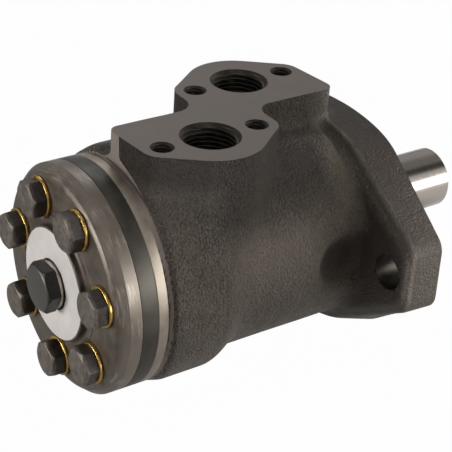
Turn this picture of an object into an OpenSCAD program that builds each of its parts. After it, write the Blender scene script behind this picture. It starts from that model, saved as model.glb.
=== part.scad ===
// Orbital hydraulic motor with a spool valve on its output shaft.
// The X axis is the shaft axis, pointing out of the mounting flange; Z points up to the port face.
// The origin is the centre of the mounting face. All sizes are in millimetres.

/* [Housing] */
// Length from the mounting face back to the joint with the distributor plate
housing_len = 106.5; // [104:0.5:112]
// Radius of the cast barrel
barrel_r = 40.5; // [39:0.25:42]
// How far the cast collar at the gear end stands over the machined register band
collar_step = 0.8; // [0.2:0.1:2]
// Length of that collar
collar_len = 24; // [20:0.5:28]
// Length of the taper from the collar down to the barrel
collar_taper = 12.5; // [8:0.5:16]
// Radius of the machined register band, plate, gear ring and end cover
body_r = 43.7; // [43.5:0.1:44]
// Width of the machined register band
register_w = 2; // [1:0.5:4]
// Half width of the cast saddle under the port face
saddle_half_w = 26; // [24:0.5:28]
// Height of the saddle above the shaft axis
saddle_h = 45.5; // [44:0.25:47]
// Corner radius of the saddle
saddle_corner_r = 15; // [10:0.5:18]
// Gap between the saddle's end and the gear end of the housing
saddle_set_back = 4; // [2:0.5:8]

/* [Mounting flange] */
// Distance between the two mounting holes
ear_pitch = 106.4; // [104:0.2:110]
// Diameter of a mounting hole
ear_hole_d = 13.5; // [11:0.5:14]
// Half of the flange's overall length
ear_end = 65; // [64:0.5:68]
// Width of the flange's rim
rim_t = 12.5; // [11:0.5:13.5]
// Thickness of the flange at the holes
flange_t = 16; // [15:0.5:18]
// Radius of the round middle of the flange at the mounting face
flange_r = 49.9; // [48.5:0.1:51]
// Radius of that middle at the back of the rim
flange_rim_r = 45.3; // [44.5:0.1:47]
// Radius of that middle at the back of the flange
flange_back_r = 40; // [39:0.25:42]
// Height of the flange across its upper and lower flats
flange_h = 92; // [90:0.5:96]
// Corner radius of an ear
ear_corner_r = 7.5; // [6:0.25:9]
// Half distance between the two corner centres of an ear
ear_corner_z = 9.2; // [8:0.2:10.4]
// Half distance between those centres where the ear has tapered in
ear_back_z = 5; // [4:0.25:6.5]
// How far the ear's end tapers in along the rim
ear_rim_taper = 1; // [0.5:0.25:2]
// How far it tapers in altogether, up to the back of the flange
ear_end_taper = 3.3; // [2.5:0.1:4.5]
// Diameter of the centring pilot
pilot_d = 82.5; // [80:0.5:84]
// Height of the pilot
pilot_h = 2.8; // [2:0.1:4]
// Radius of the round end of the bolt head pocket in the barrel
pocket_r = 10.5; // [9.5:0.25:12]
// Distance from the shaft axis to the pocket's floor
pocket_floor = 37; // [36:0.25:39]
// Length of the pocket behind the flange
pocket_len = 20.5; // [18:0.5:26]

/* [Ports] */
// Height of the port face above the shaft axis
port_z = 55.3; // [54:0.1:60]
// Distance of the gear side port from the gear end of the housing
port_1_back = 31; // [30:0.25:33]
// Distance of the shaft side port from the mounting face
port_2_x = 39.1; // [38:0.25:41]
// Distance of each port from the middle plane
port_y = 17.85; // [17:0.25:19]
// Diameter of the port thread
port_thread_d = 20.955; // [16:0.1:22]
// Depth of the port thread
port_depth = 15; // [13:0.5:17]
// Diameter of the port's entry chamfer
port_chamfer_d = 22.4; // [22.2:0.2:23]
// Radius of the pad round a port
pad_r = 20; // [19:0.5:21]
// Distance of a tapped hole from its port
stud_offset = 20; // [19:0.25:21]
// Diameter of the tapped holes beside the ports
stud_thread_d = 8; // [6:1:8]
// Depth of the tapped holes
stud_depth = 13; // [10:0.5:14]
// Radius of the pad round a tapped hole
pad_end_r = 8; // [7:0.25:9]
// How far each pad reaches past the middle plane
pad_overlap = 4.5; // [3:0.25:6]
// Radius of the fillet where the two pads meet
pad_fillet_r = 7.5; // [5:0.5:9]
// How far a pad's outer corner flares out past its tapped hole's pad
pad_flare = 1.4; // [0.5:0.1:2]
// Corner radius of a pad
pad_corner_r = 4.2; // [3:0.2:5]

/* [Gear set] */
// Radius of the circle on which the ring's lobe centres lie
lobe_centre_r = 30; // [29.6:0.1:30.6]
// Radius of a ring lobe
lobe_r = 8.5; // [8:0.1:8.8]
// Eccentricity of the star in the ring
gear_e = 3.4; // [3:0.05:3.5]
// Thickness of the gear ring
ring_t = 6.5; // [6:0.5:12]
// Thickness of the distributor plate
plate_t = 4; // [3.5:0.25:6]
// Gap between the star and each ring lobe
gear_gap = 0.06; // [0.03:0.01:0.1]
// Radial gap between the star's tips and the ring's round gaps
tip_gap = 0.4; // [0.2:0.1:0.6]

/* [End cover] */
// Thickness of the cover at the screws
cover_t = 9; // [8:0.5:12]
// Width of the cover's straight rim
cover_rim_w = 4.9; // [4:0.1:6]
// Radius of the cover's flat face
cover_face_r = 39.4; // [39.2:0.1:42]
// Radius of the raised boss
boss_r = 22; // [20:0.25:23]
// Height of the raised boss
boss_h = 2.8; // [2:0.1:4]
// Outer radius of the low step round the boss
step_r = 25.4; // [24.5:0.1:27]
// Height of that step
step_h = 0.3; // [0.2:0.1:0.5]
// Outer radius of the label disc
label_r = 21.2; // [19:0.1:21.8]
// Inner radius of the label disc
label_hole_r = 9.8; // [9.5:0.1:11]
// Thickness of the label disc
label_t = 0.2; // [0.1:0.1:0.5]
// Depth of the drain port's thread in the cover
drain_depth = 9; // [7:0.5:10]

/* [Fasteners] */
// Number of cover screws, ring lobes and pockets; the star has one lobe less
screw_count = 7; // [7:1:7]
// Radius of the circle of cover screws
screw_pcd_r = 32; // [31.5:0.1:32.4]
// Thread diameter of a cover screw
screw_d = 8; // [6:0.5:8]
// Width across flats of a cover screw's head
screw_af = 13; // [12:0.5:13]
// Height of a cover screw's head
screw_head_h = 5.3; // [4:0.1:6]
// Length of thread in the housing
screw_bite = 15; // [12:0.5:18]
// Outer diameter of a cover screw's washer
screw_washer_d = 15.6; // [15.2:0.1:16]
// Thickness of a cover screw's washer
screw_washer_t = 1.4; // [1:0.1:2]
// Thread diameter of the drain plug
plug_d = 13.157; // [10:0.1:14]
// Width across flats of the drain plug's head
plug_af = 17; // [15:0.5:19]
// Height of the drain plug's head
plug_head_h = 5.2; // [4:0.1:7]
// Length of the drain plug's thread
plug_len = 7.5; // [6:0.5:8]
// Outer diameter of the drain plug's sealing washer
plug_washer_d = 18; // [17.5:0.1:18.6]
// Thickness of the drain plug's sealing washer
plug_washer_t = 1.5; // [1:0.1:2]

/* [Output shaft] */
// Diameter of the shaft end
shaft_d = 25; // [24:0.5:26]
// Length of the shaft in front of the mounting face
shaft_len = 52.7; // [50:0.1:60]
// Chamfer on the shaft's end
shaft_chamfer = 1.5; // [1:0.1:2.5]
// Diameter of the valve spool
spool_d = 38; // [37:0.5:38.5]
// Distance of the spool's gear end from the housing's gear end
spool_set_back = 3.5; // [2:0.5:5]
// Diameter of the hollow inside the spool
spool_bore_d = 29; // [28:0.5:30]
// Width of the two ring grooves round the spool
groove_w = 7; // [6:0.5:8]
// Depth of the spool's grooves and slots
groove_depth = 2; // [1.5:0.25:2.25]
// Width of a timing slot along the spool
slot_w = 4; // [3:0.25:5]
// Number of timing slots from each ring groove
slots_per_groove = 6; // [6:1:6]
// Overlap of the two sets of timing slots along the shaft
slot_lap = 5; // [3:0.5:6]
// Width of the key
key_w = 8; // [6:1:8]
// Height of the key
key_h = 7; // [6:0.5:7]
// Length of the key
key_len = 32; // [28:1:36]
// Depth of the keyway
keyway_depth = 4; // [3:0.25:4.5]
// Distance of the key from the shaft's end
key_set_back = 4; // [3:0.5:8]
// Thread diameter of the hole in the shaft's end
end_thread_d = 8; // [6:1:10]
// Depth of the hole in the shaft's end
end_thread_depth = 18; // [14:1:20]

/* [Cardan shaft] */
// Number of spline teeth
spline_teeth = 12; // [10:1:14]
// Radius at the roots of the internal splines
spline_major_r = 12.4; // [12:0.1:12.8]
// Radius at the tips of the internal splines
spline_minor_r = 10.2; // [10:0.1:10.6]
// Width of a slot of the internal splines
spline_slot_w = 3.1; // [2.8:0.1:3.3]
// Clearance between the cardan's teeth and each flank
spline_side_gap = 0.3; // [0.25:0.05:0.45]
// Radial clearance between the cardan's teeth and the splines
spline_radial_gap = 0.35; // [0.3:0.05:0.5]
// Length of the spline inside the output shaft
shaft_spline_len = 10; // [9:0.5:12]
// Distance from the mounting face to the middle of that spline
shaft_spline_x = 50; // [48:0.5:52]
// Radius of the cardan's waist
cardan_waist_r = 7.5; // [6:0.25:8.5]
// Length of the cardan's gear end
cardan_rear_len = 8.6; // [8:0.2:9.5]
// Length of the cardan's shaft end
cardan_front_len = 9; // [7:0.5:10]
// Gap between the cardan's end and the drive spacer
cardan_end_gap = 0.25; // [0.25:0.05:0.6]
// Angle of the cone turned on the cardan's gear end
cardan_end_cone = 5; // [4:0.5:8]
// Thickness of the drive spacer between the cardan and the cover
spacer_t = 2; // [1.6:0.1:2.4]
// Radius of the hole through the distributor plate's middle
plate_bore_r = 16.6; // [16.4:0.1:17.5]

/* [Seals and thrust bearing] */
// Outer diameter of the shaft seal and its pocket
seal_d = 37; // [36:0.5:38]
// Thickness of the shaft seal
seal_t = 6; // [5:0.5:7]
// Thickness of the back-up ring
backup_t = 1.4; // [1:0.1:1.8]
// Outer diameter of the dust seal and its pocket
dust_seal_d = 42; // [40:0.5:44]
// Thickness of the dust seal
dust_seal_t = 4.5; // [3.5:0.25:5]
// Thickness of a bearing race
race_t = 1; // [0.8:0.1:1.2]
// Diameter of a bearing needle
needle_d = 2; // [1.5:0.25:2.5]
// Length of a bearing needle
needle_len = 3.6; // [3:0.1:4]
// Number of bearing needles
needle_count = 20; // [12:1:24]
// Thickness of the needle cage
cage_t = 1.4; // [1:0.1:1.6]
// Cord diameter of the body seals
o_ring_d = 1.76; // [1.5:0.01:2]
// Radius of the body seals
o_ring_r = 40.3; // [40:0.05:40.6]

/* [Check valves] */
// Diameter of a check valve ball
ball_d = 4; // [3:0.5:4]
// Travel of a check valve ball
ball_travel = 1.2; // [0.8:0.1:1.5]
// Distance of a check valve from the shaft axis
ball_pcd_r = 24.6; // [24:0.1:25]
// Diameter of the drilling behind a ball
ball_drill_d = 2.6; // [2:0.2:2.6]

/* [Clearances] */
// Radial clearance of the spool in its bore
spool_gap = 0.03; // [0.02:0.01:0.05]
// Radial clearance of the shaft in the nose and the seals
nose_gap = 0.05; // [0.03:0.01:0.08]
// Clearance on each side of a piece that slides between flat faces
face_gap = 0.03; // [0.02:0.01:0.05]
// Radial clearance of a screw in its holes
screw_gap = 0.3; // [0.2:0.05:0.4]
// Radial clearance of a sealed or loose piece in its seat
seat_gap = 0.05; // [0.03:0.01:0.1]

/* [Hidden] */
$fn = 96;
eps = 0.01;
// Places along the shaft, from the mounting face backwards
plate_x = -housing_len;
ring_x = plate_x - plate_t;
cover_x = ring_x - ring_t;
cover_face_x = cover_x - cover_t;
boss_x = cover_face_x - boss_h;
screw_head_x = cover_face_x - screw_washer_t;
plug_head_x = boss_x - plug_washer_t;
spool_rear_x = plate_x + spool_set_back;
// Places of the seals and the thrust bearing
dust_seal_x = pilot_h - dust_seal_t;
backup_x = dust_seal_x - backup_t;
seal_x = backup_x - seal_t;
nose_wall_t = 5;
race_front_x = seal_x - nose_wall_t - race_t;
race_rear_x = race_front_x - needle_d - race_t;
spool_front_x = race_rear_x;
needle_x = race_front_x - needle_d / 2;
needle_mid_r = 16;
// Ports and valve timing
port_1 = [plate_x + port_1_back, -port_y];
port_2 = [-port_2_x, port_y];
pad_mid_x = (port_1[0] + port_2[0]) / 2;
window_x = pad_mid_x;
window_w = 7;
window_t = 4;
window_r = ball_pcd_r;
groove_r = 22;
passage_r = 2.5;
lobe_step = 360 / screw_count;
first_lobe = 270;
// How the hexagons ended up once tightened, the screws counted on from the lowest one
screw_turns = [-2, -12, -8, 14, 23, -2, 24];
plug_turn = 28.6;
// Casting and ports
collar_r = body_r + collar_step;
port_r = port_thread_d / 2;
stud_r = stud_thread_d / 2;
port_floor = port_z - port_depth;
drill_r = 4;
drill_foot = [9, 18];
// Cardan: it leans from the star's centre to the middle of the shaft's spline
spacer_x = cover_x + face_gap;
cardan_rear_x = spacer_x + spacer_t + cardan_end_gap;
star_mid_x = (cover_x + ring_x) / 2;
spline_mid_x = -shaft_spline_x;
cardan_reach = spline_mid_x - star_mid_x;
cardan_tilt = atan(gear_e / cardan_reach);
// Check valves
ball_angles = [first_lobe - 3 * lobe_step, first_lobe - 4 * lobe_step];
ball_r = ball_d / 2;
ball_chamber_r = ball_r + 0.1;
ball_x = plate_x + ball_travel + ball_r;
thread_gap = 0.02;

// Extrudes a drawing of (y, z) along X from x0 to x1
module along_x(x0, x1) {
    translate([x0, 0, 0])
        rotate([90, 0, 90])
            linear_extrude(x1 - x0)
                children();
}

// Turns a profile of [radius, x] points round the X axis
module turned(points) {
    rotate([0, 90, 0])
        rotate_extrude()
            polygon(points);
}

// A rod along X from x0 to x1
module rod(r, x0, x1) {
    translate([x0, 0, 0])
        rotate([0, 90, 0])
            cylinder(r = r, h = x1 - x0);
}

// A ring round X from x0 to x1
module ring(r_in, r_out, x0, x1) {
    difference() {
        rod(r_out, x0, x1);
        rod(r_in, x0 - 1, x1 + 1);
    }
}

// Puts children at radius r and a given angle from +Y towards +Z
module at_angle(a, r) {
    translate([0, r * cos(a), r * sin(a)])
        children();
}

// Repeats children once for each cover screw
module at_screws() {
    for (k = [0 : screw_count - 1])
        at_angle(first_lobe + k * lobe_step, screw_pcd_r)
            children();
}

// Repeats children once for each pocket between two lobes
module at_pockets(r) {
    for (k = [0 : screw_count - 1])
        at_angle(first_lobe + (k + 0.5) * lobe_step, r)
            children();
}

// Points where the outer tangent of two circles touches them: big circle at the origin
function tangent_points(r_big, centre, r_small, side) =
    let (away = norm(centre),
         a = atan2(centre[1], centre[0]) + side * acos((r_big - r_small) / away),
         n = [cos(a), sin(a)])
    [r_big * n, centre + r_small * n];

// One mounting ear as a drawing of (y, z): two round corners joined to the middle by tangents
module ear_outline(r_mid, corner, r_corner) {
    upper = tangent_points(r_mid, corner, r_corner, 1);
    lower = [for (p = upper) [p[0], -p[1]]];
    for (side = [-1, 1])
        translate([corner[0], side * corner[1]])
            circle(r_corner);
    polygon([[0, 0], upper[0], upper[1], corner + [r_corner, 0],
        [corner[0] + r_corner, -corner[1]], lower[1], lower[0]]);
}

// Leans planes in round an ear, from one outline to the smaller one behind it
module ear_lean(x_front, front_corner, flank_h, x_back, back_corner, flank) {
    lead = 0.3;
    run = 2 * flange_t;
    for (a = [-flank, -flank / 2, 0, flank / 2, flank]) {
        n = [cos(a), abs(sin(a))];
        front_h = abs(a) == flank ? flank_h : front_corner * n + ear_corner_r;
        back_h = back_corner * n + ear_corner_r;
        rotate([a, 0, 0])
            translate([x_front + lead, front_h, 0])
                rotate([0, 0, atan((front_h - back_h) / (x_front + lead - x_back))])
                    translate([-run, 0, -ear_end])
                        cube([1.2 * run, ear_end / 3, 2 * ear_end]);
    }
}

// The round middle of the flange, flat above and below
module flange_middle() {
    difference() {
        turned([[0, -flange_t], [flange_back_r, -flange_t], [flange_rim_r, -rim_t],
            [flange_r, 0], [0, 0]]);
        for (side = [0, 180])
            rotate([side, 0, 0])
                translate([-flange_t - 1, -flange_r, flange_h / 2])
                    cube([flange_t + 2, 2 * flange_r, flange_r]);
    }
}

// The oval flange: its rim leans in towards the back, and a bevel leads on to the back face
module mounting_flange() {
    front_corner = [ear_end - ear_corner_r, ear_corner_z];
    rim_corner = front_corner - [ear_rim_taper, 0];
    back_corner = [front_corner[0] - ear_end_taper, ear_back_z];
    flank = atan2(rim_corner[1], rim_corner[0])
        + acos((flange_rim_r - ear_corner_r) / norm(rim_corner));
    flange_middle();
    for (side = [0, 180])
        rotate([side, 0, 0])
            difference() {
                along_x(-flange_t, 0)
                    ear_outline(flange_r, front_corner, ear_corner_r);
                ear_lean(0, front_corner, flange_r, -rim_t, rim_corner, flank);
                ear_lean(-rim_t, rim_corner, flange_rim_r, -flange_t, back_corner, flank);
            }
    rod(pilot_d / 2, -eps, pilot_h);
}

// Half of the port face's outline, drawn round the gear side port
module pad_half() {
    end = [stud_offset, 0];
    far_y = port_y + pad_overlap;
    right = tangent_points(pad_r, end, pad_end_r, -1);
    outer_x = -stud_offset - pad_end_r - pad_flare;
    circle(pad_r);
    for (side = [-1, 1])
        translate([side * stud_offset, 0])
            circle(pad_end_r);
    polygon([[0, 0], right[0], right[1], end]);
    mirror([1, 0])
        polygon([[0, 0], right[0], right[1], end]);
    translate([outer_x + pad_corner_r, far_y - pad_corner_r])
        circle(pad_corner_r);
    polygon([[-stud_offset - pad_end_r, 0], [outer_x, far_y - pad_corner_r],
        [outer_x + pad_corner_r, far_y], [pad_mid_x - port_1[0], far_y],
        [stud_offset + pad_end_r, port_y], [stud_offset + pad_end_r, 0]]);
    difference() {
        translate([stud_offset, port_y - pad_overlap - pad_fillet_r])
            square([pad_end_r + pad_fillet_r, pad_fillet_r]);
        translate([stud_offset + pad_end_r + pad_fillet_r, port_y - pad_overlap - pad_fillet_r])
            circle(pad_fillet_r);
    }
}

// The port face is the half outline and its copy turned half round the middle
module port_pads() {
    linear_extrude(port_z)
        for (half = [0, 180])
            translate([pad_mid_x, 0])
                rotate(half)
                    translate([port_1[0] - pad_mid_x, port_1[1]])
                        pad_half();
}

// Cast saddle that carries the port pads along the top of the barrel
module port_saddle() {
    inner = saddle_half_w - saddle_corner_r;
    along_x(plate_x + saddle_set_back, -rim_t / 2) {
        for (side = [-1, 1])
            translate([side * inner, saddle_h - saddle_corner_r])
                circle(saddle_corner_r);
        translate([-inner, 0])
            square([2 * inner, saddle_h]);
        translate([-saddle_half_w, 0])
            square([2 * saddle_half_w, saddle_h - saddle_corner_r]);
    }
}

// Barrel with the collar, its taper and the machined register band
module barrel() {
    collar_x = plate_x + collar_len;
    turned([[0, plate_x], [body_r, plate_x], [body_r, plate_x + register_w],
        [collar_r, plate_x + register_w + collar_step], [collar_r, collar_x - 1],
        [collar_r - 0.4, collar_x], [barrel_r, collar_x + collar_taper], [barrel_r, -rim_t],
        [0, -rim_t]]);
}

// Threaded port and the slanted drilling from its floor to the valve's ring groove
module port_cut(port, side) {
    translate([port[0], port[1], port_floor])
        cylinder(r = port_r, h = port_depth + 1);
    translate([port[0], port[1], port_z - (port_chamfer_d / 2 - port_r)])
        cylinder(r1 = port_r, r2 = port_chamfer_d / 2 + eps, h = port_chamfer_d / 2 - port_r + eps);
    foot_y = side * drill_foot[0];
    lean = atan2(foot_y - port[1], port_floor - drill_foot[1]);
    translate([port[0], foot_y, drill_foot[1]])
        rotate([lean, 0, 0])
            cylinder(r = drill_r, h = norm([foot_y - port[1], port_floor - drill_foot[1]]) + 0.5);
    for (step = [-1, 1])
        translate([port[0] + step * stud_offset, port[1], port_z - stud_depth])
            cylinder(r = stud_r, h = stud_depth + 1);
}

// Pocket in the barrel that clears the head of a mounting bolt
module bolt_pocket() {
    round_x = -flange_t - pocket_len + pocket_r;
    translate([round_x, pocket_floor, 0])
        rotate([-90, 0, 0])
            cylinder(r = pocket_r, h = ear_end);
    translate([round_x, pocket_floor, -pocket_r])
        cube([-flange_t - round_x, ear_end, 2 * pocket_r]);
}

// Chamber, seat cone and drilling of one check valve
module check_valve_cut(a, port) {
    seat_x = ball_x + ball_r * sqrt(2) - ball_drill_d / 2;
    cone_x = seat_x - (ball_chamber_r - ball_drill_d / 2);
    at_angle(a, ball_pcd_r) {
        rod(ball_chamber_r, plate_x - 1, cone_x);
        turned([[0, cone_x - eps], [ball_chamber_r, cone_x - eps], [ball_chamber_r, cone_x],
            [ball_drill_d / 2, seat_x], [0, seat_x]]);
        rod(ball_drill_d / 2, seat_x - eps, port[0]);
    }
    rotate([a, 0, 0])
        translate([plate_x - 1, spool_d / 2 - 1, -1])
            cube([2, ball_pcd_r - spool_d / 2 + 1, 2]);
}

// Valve bore with its ring grooves, windows and passages
module valve_cut() {
    rod(spool_d / 2 + spool_gap, plate_x - 1, race_front_x + race_t);
    for (port = [port_1, port_2])
        rod(groove_r, port[0] - groove_w / 2, port[0] + groove_w / 2);
    at_pockets(window_r)
        rod(passage_r, plate_x - 1, window_x);
    for (k = [0 : screw_count - 1])
        rotate([first_lobe + (k + 0.5) * lobe_step, 0, 0])
            translate([window_x - window_w / 2, spool_d / 2 - 1, -window_t / 2])
                cube([window_w, window_r - spool_d / 2 + 1, window_t]);
}

// Bore of the nose and the seal pockets behind the mounting face
module nose_cut() {
    rod(shaft_d / 2 + 2 * nose_gap, race_front_x, 1);
    rod(seal_d / 2, seal_x, dust_seal_x + eps);
    rod(dust_seal_d / 2, dust_seal_x, pilot_h + 1);
}

module housing() color([0.27, 0.25, 0.23]) {
    difference() {
        union() {
            barrel();
            port_saddle();
            port_pads();
            mounting_flange();
        }
        valve_cut();
        nose_cut();
        port_cut(port_1, -1);
        port_cut(port_2, 1);
        for (side = [-1, 1])
            translate([0, side * ear_pitch / 2, 0])
                rod(ear_hole_d / 2, -flange_t - 1, 1);
        bolt_pocket();
        mirror([0, 1, 0])
            bolt_pocket();
        at_screws()
            rod(screw_d / 2 + thread_gap, plate_x - 1, plate_x + screw_bite + 3);
        check_valve_cut(ball_angles[1], port_1);
        check_valve_cut(ball_angles[0], port_2);
        seal_groove(plate_x, 1);
    }
}

// Groove for a body seal, cut from the face at x towards +X (side 1) or -X (side -1)
module seal_groove(x, side) {
    depth = o_ring_d + 2 * thread_gap;
    x0 = side > 0 ? x - 1 : x - depth;
    ring(o_ring_r - o_ring_d / 2 - thread_gap, o_ring_r + o_ring_d / 2 + thread_gap, x0, x0 + depth + 1);
}

// Body seal that lies in the groove cut from the face at x
module body_seal(x, side) {
    translate([x + side * (o_ring_d / 2 + thread_gap), 0, 0])
        rotate([0, 90, 0])
            rotate_extrude()
                translate([o_ring_r, 0])
                    circle(d = o_ring_d, $fn = 24);
}

module distributor_plate() color([0.78, 0.74, 0.68]) {
    difference() {
        rod(body_r, ring_x, plate_x);
        rod(plate_bore_r, ring_x - 1, plate_x + 1);
        at_pockets(window_r)
            rod(passage_r + 0.5, ring_x - 1, plate_x + 1);
        at_screws()
            rod(screw_d / 2 + screw_gap, ring_x - 1, plate_x + 1);
        seal_groove(ring_x, 1);
    }
}

module gerotor_ring() color([0.2, 0.19, 0.18]) {
    gap_r = lobe_centre_r - lobe_r + 2 * gear_e + tip_gap;
    difference() {
        rod(body_r, cover_x, ring_x);
        along_x(cover_x - 1, ring_x + 1)
            difference() {
                circle(gap_r);
                for (k = [0 : screw_count - 1])
                    rotate(first_lobe + k * lobe_step)
                        translate([lobe_centre_r, 0])
                            circle(lobe_r);
            }
        at_screws()
            rod(screw_d / 2 + screw_gap, cover_x - 1, ring_x + 1);
    }
}

// A point of the star's outline. The lobe centres trace P(t) in the star's own frame, with
// P(t) = (A cos t - e cos 7t, A sin t - e sin 7t), and the outline lies lobe_r inside it.
function star_point(t) =
    let (n = screw_count,
         p = [lobe_centre_r * cos(t) - gear_e * cos(n * t), lobe_centre_r * sin(t) - gear_e * sin(n * t)],
         d = [-lobe_centre_r * sin(t) + n * gear_e * sin(n * t), lobe_centre_r * cos(t) - n * gear_e * cos(n * t)],
         u = d / norm(d))
    p - (lobe_r + gear_gap) * [u[1], -u[0]];

// Slots of an internal spline, as a drawing
module spline_slots() {
    circle(spline_minor_r);
    for (k = [0 : spline_teeth - 1])
        rotate(k * 360 / spline_teeth)
            translate([0, -spline_slot_w / 2])
                square([spline_major_r, spline_slot_w]);
}

// Teeth of the cardan, as a drawing that runs inside the internal spline
module spline_teeth_outline() {
    tooth_w = spline_slot_w - 2 * spline_side_gap;
    circle(spline_minor_r - spline_radial_gap);
    for (k = [0 : spline_teeth - 1])
        rotate(k * 360 / spline_teeth)
            translate([0, -tooth_w / 2])
                square([spline_major_r, tooth_w]);
}

// Gear star. The outline's points crowd in the valleys, where the outline turns fastest.
module gerotor_star() color([0.55, 0.53, 0.5]) {
    lobes = screw_count - 1;
    count = 36 * lobes;
    crowding = 0.94 * 180 / (PI * lobes);
    at_angle(first_lobe, gear_e)
        along_x(cover_x + face_gap, ring_x - face_gap)
            difference() {
                rotate(first_lobe)
                    polygon([for (i = [0 : count - 1])
                        let (s = i * 360 / count) star_point(s - crowding * sin(lobes * s))]);
                spline_slots();
            }
}

module drive_spacer() color([0.6, 0.6, 0.6]) {
    at_angle(first_lobe, gear_e)
        rod(spline_minor_r - 2 * seat_gap, spacer_x, spacer_x + spacer_t);
}

// One crowned head of the cardan: teeth cut to a ball round the spline's middle, with a cone
// turned on the end at x0
module cardan_head(x0, x1, mid, cone) {
    crown_r = spline_major_r - spline_radial_gap;
    flat_r = 4;
    intersection() {
        along_x(x0 - 1, x1 + 1)
            spline_teeth_outline();
        rotate([0, 90, 0])
            rotate_extrude()
                intersection() {
                    translate([0, mid])
                        circle(crown_r);
                    polygon([[0, x0], [flat_r, x0], [crown_r + 1, x0 + (crown_r + 1 - flat_r) * tan(cone)],
                        [crown_r + 1, x1], [0, x1]]);
                }
    }
}

module cardan_shaft() color([0.62, 0.6, 0.57]) {
    rear_x1 = cardan_rear_x + cardan_rear_len;
    front_x0 = spline_mid_x - cardan_front_len / 2;
    root_r = spline_minor_r - spline_radial_gap;
    translate([spline_mid_x, 0, 0])
        rotate([0, -cardan_tilt, 0])
            translate([-spline_mid_x, 0, 0]) {
                cardan_head(cardan_rear_x, rear_x1, star_mid_x, cardan_end_cone);
                turned([[0, rear_x1 - 2], [root_r - 1.6, rear_x1 - 2], [root_r - 1.6, rear_x1],
                    [cardan_waist_r, rear_x1 + 4], [cardan_waist_r, front_x0 - 4],
                    [root_r - 1, front_x0], [root_r - 1, front_x0 + 2], [0, front_x0 + 2]]);
                cardan_head(front_x0, front_x0 + cardan_front_len, spline_mid_x, 0);
            }
}

// Timing slot from the ring groove at x towards the windows, at angle a round the spool
module timing_slot(x, a) {
    far = window_x + sign(window_x - x) * slot_lap / 2;
    rotate([a, 0, 0])
        translate([min(x, far), spool_d / 2 - groove_depth, -slot_w / 2])
            cube([abs(far - x), groove_depth + 1, slot_w]);
}

// Hollow of the spool: bore, spline and run-out
module shaft_hollow() {
    spline_x0 = spline_mid_x - shaft_spline_len / 2;
    spline_x1 = spline_mid_x + shaft_spline_len / 2;
    rod(spool_bore_d / 2, spool_rear_x - 1, spline_x0);
    along_x(spline_x0 - 1, spline_x1 + 1)
        spline_slots();
    rod(spline_major_r + 0.6, spline_x1, spline_x1 + 4);
    turned([[0, spline_x1 + 3], [spline_minor_r, spline_x1 + 3], [spline_minor_r, spline_x1 + 5],
        [2, spline_x1 + 11], [0, spline_x1 + 11]]);
}

module output_shaft() color([0.75, 0.73, 0.7]) {
    spool_r = spool_d / 2;
    shaft_r = shaft_d / 2;
    drain_x = spool_front_x - 6;
    difference() {
        union() {
            turned([[0, spool_rear_x], [spool_r - 1, spool_rear_x], [spool_r, spool_rear_x + 1],
                [spool_r, spool_front_x - 1], [spool_r - 1, spool_front_x], [shaft_r, spool_front_x],
                [shaft_r, shaft_len - shaft_chamfer], [shaft_r - shaft_chamfer, shaft_len],
                [0, shaft_len]]);
        }
        shaft_hollow();
        for (x = [port_1[0], port_2[0]])
            ring(spool_r - groove_depth, spool_r + 1, x - groove_w / 2, x + groove_w / 2);
        for (k = [0 : slots_per_groove - 1]) {
            timing_slot(port_1[0], k * 360 / slots_per_groove);
            timing_slot(port_2[0], (k + 0.5) * 360 / slots_per_groove);
        }
        rod(3, spline_mid_x, drain_x + 3);
        translate([drain_x, 0, -spool_r - 1])
            cylinder(r = 3, h = 2 * spool_r + 2);
        keyway_cut();
        rod(end_thread_d / 2, shaft_len - end_thread_depth, shaft_len + 1);
        translate([shaft_len - 1.2, 0, 0])
            rotate([0, 90, 0])
                cylinder(r1 = end_thread_d / 2, r2 = end_thread_d / 2 + 1.3, h = 1.3);
    }
}

// Outline of the key seen from above, with round ends
module key_outline(gap) {
    x1 = shaft_len - key_set_back;
    for (x = [x1 - key_len + key_w / 2, x1 - key_w / 2])
        translate([x, 0])
            circle(key_w / 2 + gap);
    translate([x1 - key_len + key_w / 2, -key_w / 2 - gap])
        square([key_len - key_w, key_w + 2 * gap]);
}

module keyway_cut() {
    rotate([-90, 0, 0])
        translate([0, 0, shaft_d / 2 - keyway_depth])
            linear_extrude(keyway_depth + 1)
                key_outline(thread_gap);
}

module shaft_key() color([0.6, 0.58, 0.55]) {
    rotate([-90, 0, 0])
        translate([0, 0, shaft_d / 2 - keyway_depth])
            linear_extrude(key_h)
                key_outline(0);
}

module end_cover() color([0.38, 0.36, 0.33]) {
    difference() {
        turned([[0, boss_x], [boss_r - 0.5, boss_x], [boss_r, boss_x + 0.5],
            [boss_r, cover_face_x - step_h], [step_r, cover_face_x - step_h],
            [step_r, cover_face_x], [cover_face_r, cover_face_x], [cover_face_r + 1.2, cover_face_x + 0.5],
            [body_r, cover_x - cover_rim_w], [body_r, cover_x], [0, cover_x]]);
        at_screws() {
            rod(screw_d / 2 + screw_gap, boss_x - 1, cover_x + 1);
            rod(screw_washer_d / 2 + screw_gap, boss_x - 1, cover_face_x);
        }
        rod(plug_d / 2 + thread_gap, boss_x - 1, boss_x + drain_depth);
        rod(plug_d / 2 - 2, boss_x - 1, cover_x + 1);
        seal_groove(cover_x, -1);
    }
}

// Hexagon along X, from x0 to x1, with its corners turned off at the outer end
module hex_head(af, x0, x1) {
    across = af / cos(30);
    bevel = (across - af) / 2;
    intersection() {
        translate([x0, 0, 0])
            rotate([0, 90, 0])
                cylinder(d = across, h = x1 - x0, $fn = 6);
        turned([[0, x0], [af / 2 - 0.3, x0], [across / 2, x0 + bevel * 0.75], [across / 2, x1], [0, x1]]);
    }
}

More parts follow.
